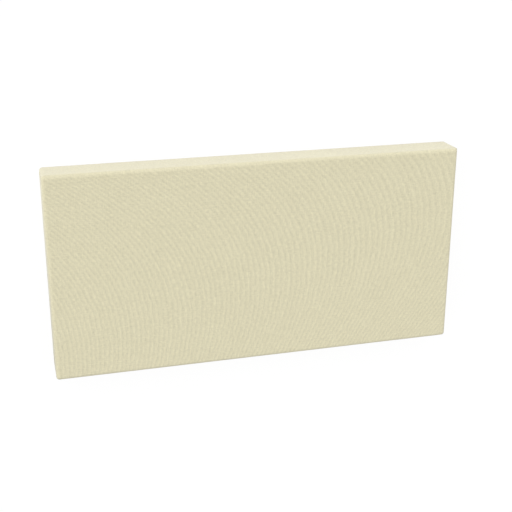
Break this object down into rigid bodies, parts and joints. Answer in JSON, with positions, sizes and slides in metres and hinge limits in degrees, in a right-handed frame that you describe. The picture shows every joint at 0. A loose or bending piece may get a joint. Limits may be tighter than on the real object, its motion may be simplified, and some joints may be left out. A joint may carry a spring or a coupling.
{
  "type": "fabric acoustic wall panel",
  "caption": "Flat rectangular sound-absorbing panel: a rigid mineral wool board with soft edges, wrapped in woven cloth that is folded at the corners and hemmed on the back.",
  "frame": {"origin": "centre of the panel's outline on the floor, under its back", "axes": "+X along the panel's length, +Y across it towards the edge that the picture shows on top, +Z out of the cloth face"},
  "size_m": [1.2, 0.6, 0.1],
  "materials": {
    "cover_cloth": "matte",
    "core_wool": "matte"
  },
  "bodies": {
    "root": {"core_board": "core_wool", "fabric_cover": "cover_cloth"}
  },
  "joints": []
}
